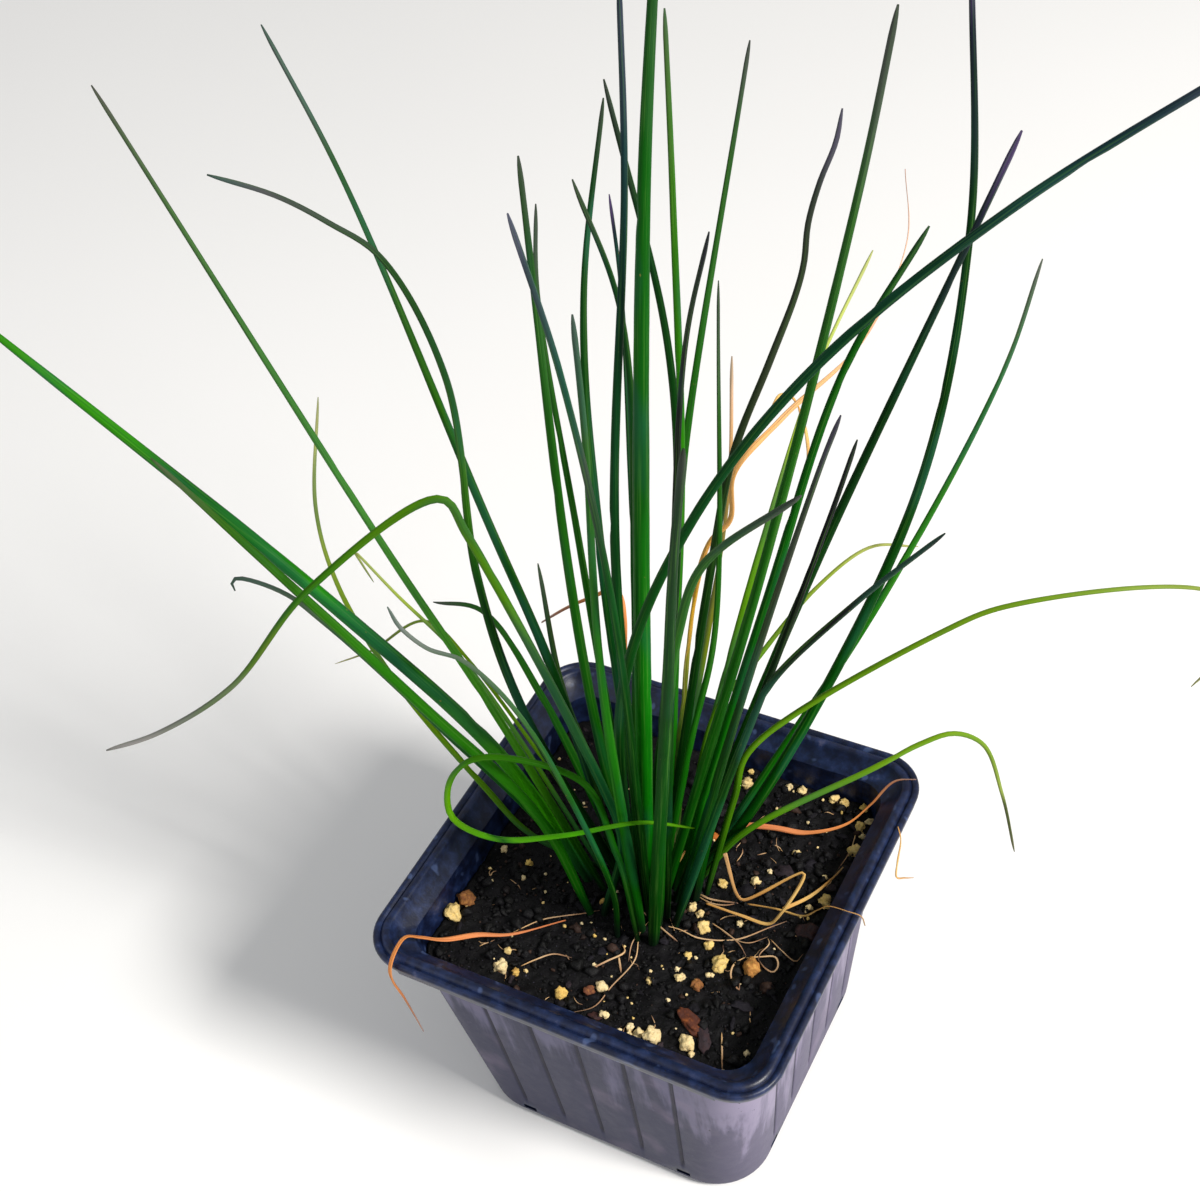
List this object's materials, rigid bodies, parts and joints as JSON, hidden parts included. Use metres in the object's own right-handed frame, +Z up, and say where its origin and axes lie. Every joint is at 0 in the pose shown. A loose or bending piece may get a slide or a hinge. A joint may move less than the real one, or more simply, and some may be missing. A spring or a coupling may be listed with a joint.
{
  "type": "potted chives",
  "caption": "Clump of round hollow chive leaves growing from dark potting soil in a square tapered black nursery pot with a rolled rim and fluted walls.",
  "frame": {"origin": "centre of the underside of the pot, on the surface that the pot stands on", "axes": "+Z up along the clump; the pot's four sides face +X, -X, +Y and -Y"},
  "size_m": [0.2046, 0.1583, 0.274],
  "materials": {
    "pot": "black injection-moulded plastic, semi-matt, slightly worn and dusty",
    "soil": "damp peat and bark mix, crumbly, with pale perlite grains",
    "green": "smooth leaf skin with a waxy sheen",
    "bright": "young leaf skin, smooth with a waxy sheen",
    "blue_green": "older leaf skin with a pale bloom",
    "lime": "thin yellowing leaf, smooth",
    "straw": "dead dry leaf, papery and matt"
  },
  "bodies": {
    "root": {"pot": "pot", "soil": "soil", "leaf_left_1": "green", "leaf_left_2": "green", "leaf_left_3": "blue_green", "leaf_left_4": "bright", "leaf_left_5": "green", "leaf_left_6": "blue_green", "leaf_left_7": "lime", "leaf_left_8": "green", "leaf_left_9": "blue_green", "leaf_left_10": "blue_green", "leaf_left_11": "lime", "leaf_left_12": "lime", "leaf_mid_1": "green", "leaf_mid_2": "blue_green", "leaf_mid_3": "blue_green", "leaf_mid_4": "green", "leaf_mid_5": "green", "leaf_mid_6": "green", "leaf_mid_7": "green", "leaf_mid_8": "blue_green", "leaf_mid_9": "green", "leaf_mid_10": "bright", "leaf_mid_11": "bright", "leaf_mid_12": "green", "leaf_mid_13": "blue_green", "leaf_mid_14": "blue_green", "leaf_mid_15": "lime", "leaf_mid_16": "green", "leaf_mid_17": "green", "leaf_mid_18": "lime", "leaf_mid_19": "blue_green", "leaf_mid_20": "blue_green", "leaf_mid_21": "blue_green", "leaf_right_1": "blue_green", "leaf_right_2": "green", "leaf_right_3": "green", "leaf_right_4": "blue_green", "leaf_right_5": "bright", "leaf_right_6": "blue_green", "leaf_right_7": "green", "leaf_side_1": "lime", "leaf_side_2": "blue_green", "leaf_side_3": "lime", "leaf_side_4": "lime", "leaf_loop": "bright", "dry_leaf_tall": "straw", "dry_leaf_back": "straw", "dry_leaf_left": "straw", "dry_leaf_right": "straw", "straw_folded": "straw", "straw_over_rim": "straw", "twig": "straw"}
  },
  "joints": []
}
